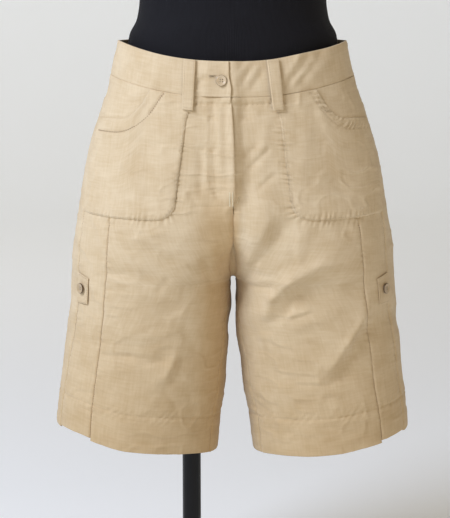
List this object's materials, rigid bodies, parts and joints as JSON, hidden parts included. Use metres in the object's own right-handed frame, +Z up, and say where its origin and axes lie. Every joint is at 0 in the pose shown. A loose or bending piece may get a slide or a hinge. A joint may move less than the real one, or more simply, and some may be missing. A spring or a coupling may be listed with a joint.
{
  "type": "bermuda shorts on a trouser dress form",
  "caption": "Knee-length linen bermuda shorts with large patch pockets, belt loops and buttoned side tabs, worn by a limbless hip form on an off-centre pole with a round foot.",
  "frame": {"origin": "the middle of the part's outline on the floor, under the foot", "axes": "+Z up, -Y the front of the shorts, +X the wearer's left"},
  "size_m": [0.4674, 0.3, 0.8673],
  "materials": {
    "linen": "plain-woven natural linen",
    "linen_double": "the same linen sewn double",
    "button_resin": "polished horn-coloured resin",
    "black_jersey": "stretched black jersey over the form",
    "black_paint": "satin black paint"
  },
  "bodies": {
    "root": {"front_right": "linen", "front_left": "linen", "side_panel_right": "linen", "side_panel_left": "linen", "back_right": "linen", "back_left": "linen", "patch_pocket_right": "linen", "patch_pocket_left": "linen", "pocket_facing_right": "linen", "pocket_facing_left": "linen", "waistband_front_right": "linen_double", "waistband_front_left": "linen_double", "waistband_back": "linen_double", "belt_loop_front_right": "linen_double", "belt_loop_front_left": "linen_double", "belt_loop_back_right": "linen_double", "belt_loop_back_centre": "linen_double", "belt_loop_back_left": "linen_double", "side_tab_right": "linen_double", "side_tab_left": "linen_double", "waist_button": "button_resin", "tab_button_right": "button_resin", "tab_button_left": "button_resin", "form_torso": "black_jersey", "form_cap": "black_paint", "form_pole": "black_paint", "base_hub": "black_paint", "base_plate": "black_paint"}
  },
  "joints": []
}
